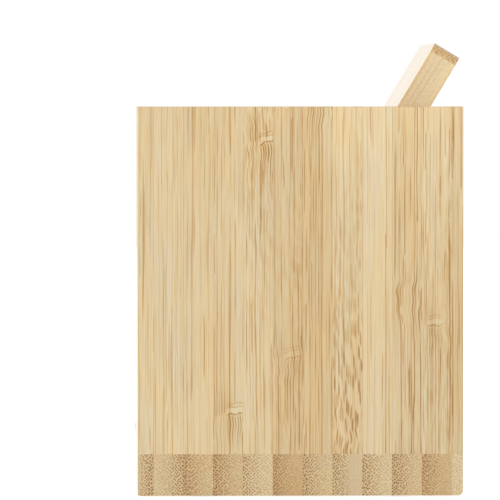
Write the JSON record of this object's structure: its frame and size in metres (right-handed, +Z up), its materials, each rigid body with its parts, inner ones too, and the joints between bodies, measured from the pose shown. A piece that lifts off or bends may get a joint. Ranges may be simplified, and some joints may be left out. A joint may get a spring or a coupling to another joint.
{
  "type": "wireless charger pen holder",
  "caption": "Bamboo desk caddy: an open square pen cup on a laminated base plate, beside a leaning panel that charges a phone held by a low stop strip.",
  "frame": {"origin": "middle of the space that the object takes up, on the surface that it stands on", "axes": "+Z up, +X along the base plate towards the pen cup, -Y towards the user, who faces the leaning panel"},
  "size_m": [0.175, 0.104, 0.1404],
  "materials": {
    "bamboo_board": "satin clear lacquer on side-pressed bamboo",
    "bamboo_plate": "satin clear lacquer, end grain in view at the ends",
    "dowel_wood": "bare",
    "zinc_steel": "zinc plated",
    "pad_rubber": "matte",
    "enamelled_copper": "enamelled copper wire",
    "ferrite": "sintered ferrite, matte",
    "adhesive_tape": "double-sided tape",
    "board_laminate": "green solder mask on glass laminate",
    "chip_plastic": "moulded black plastic",
    "capacitor_ceramic": "ceramic with tinned ends",
    "nickel_shell": "nickel plated sheet",
    "clear_plastic": "clear moulded"
  },
  "bodies": {
    "root": {"base_plate": "bamboo_plate", "cup_outer_wall": "bamboo_board", "cup_inner_wall": "bamboo_board", "cup_front_wall": "bamboo_board", "cup_back_wall": "bamboo_board", "phone_panel": "bamboo_board", "phone_stop": "bamboo_board", "rear_cover": "bamboo_board", "panel_dowel_lower": "dowel_wood", "panel_dowel_upper": "dowel_wood", "wall_screw_outer_front": "zinc_steel", "wall_screw_outer_back": "zinc_steel", "wall_screw_inner_front": "zinc_steel", "wall_screw_inner_back": "zinc_steel", "cover_screw_lower_left": "zinc_steel", "cover_screw_lower_right": "zinc_steel", "cover_screw_upper_left": "zinc_steel", "cover_screw_upper_right": "zinc_steel", "foot_pad_front_left": "pad_rubber", "foot_pad_front_right": "pad_rubber", "foot_pad_back_left": "pad_rubber", "foot_pad_back_right": "pad_rubber", "charging_coil": "enamelled_copper", "coil_lead_a": "enamelled_copper", "coil_lead_b": "enamelled_copper", "ferrite_shield": "ferrite", "filter_inductor": "ferrite", "coil_tape": "adhesive_tape", "board_tape": "adhesive_tape", "circuit_board": "board_laminate", "controller_chip": "chip_plastic", "bridge_chip_lower": "chip_plastic", "bridge_chip_upper": "chip_plastic", "usb_port_tongue": "chip_plastic", "resonant_capacitor_a": "capacitor_ceramic", "resonant_capacitor_b": "capacitor_ceramic", "resonant_capacitor_c": "capacitor_ceramic", "resonant_capacitor_d": "capacitor_ceramic", "usb_port_shell": "nickel_shell", "status_led": "clear_plastic", "led_lens": "clear_plastic"}
  },
  "joints": []
}
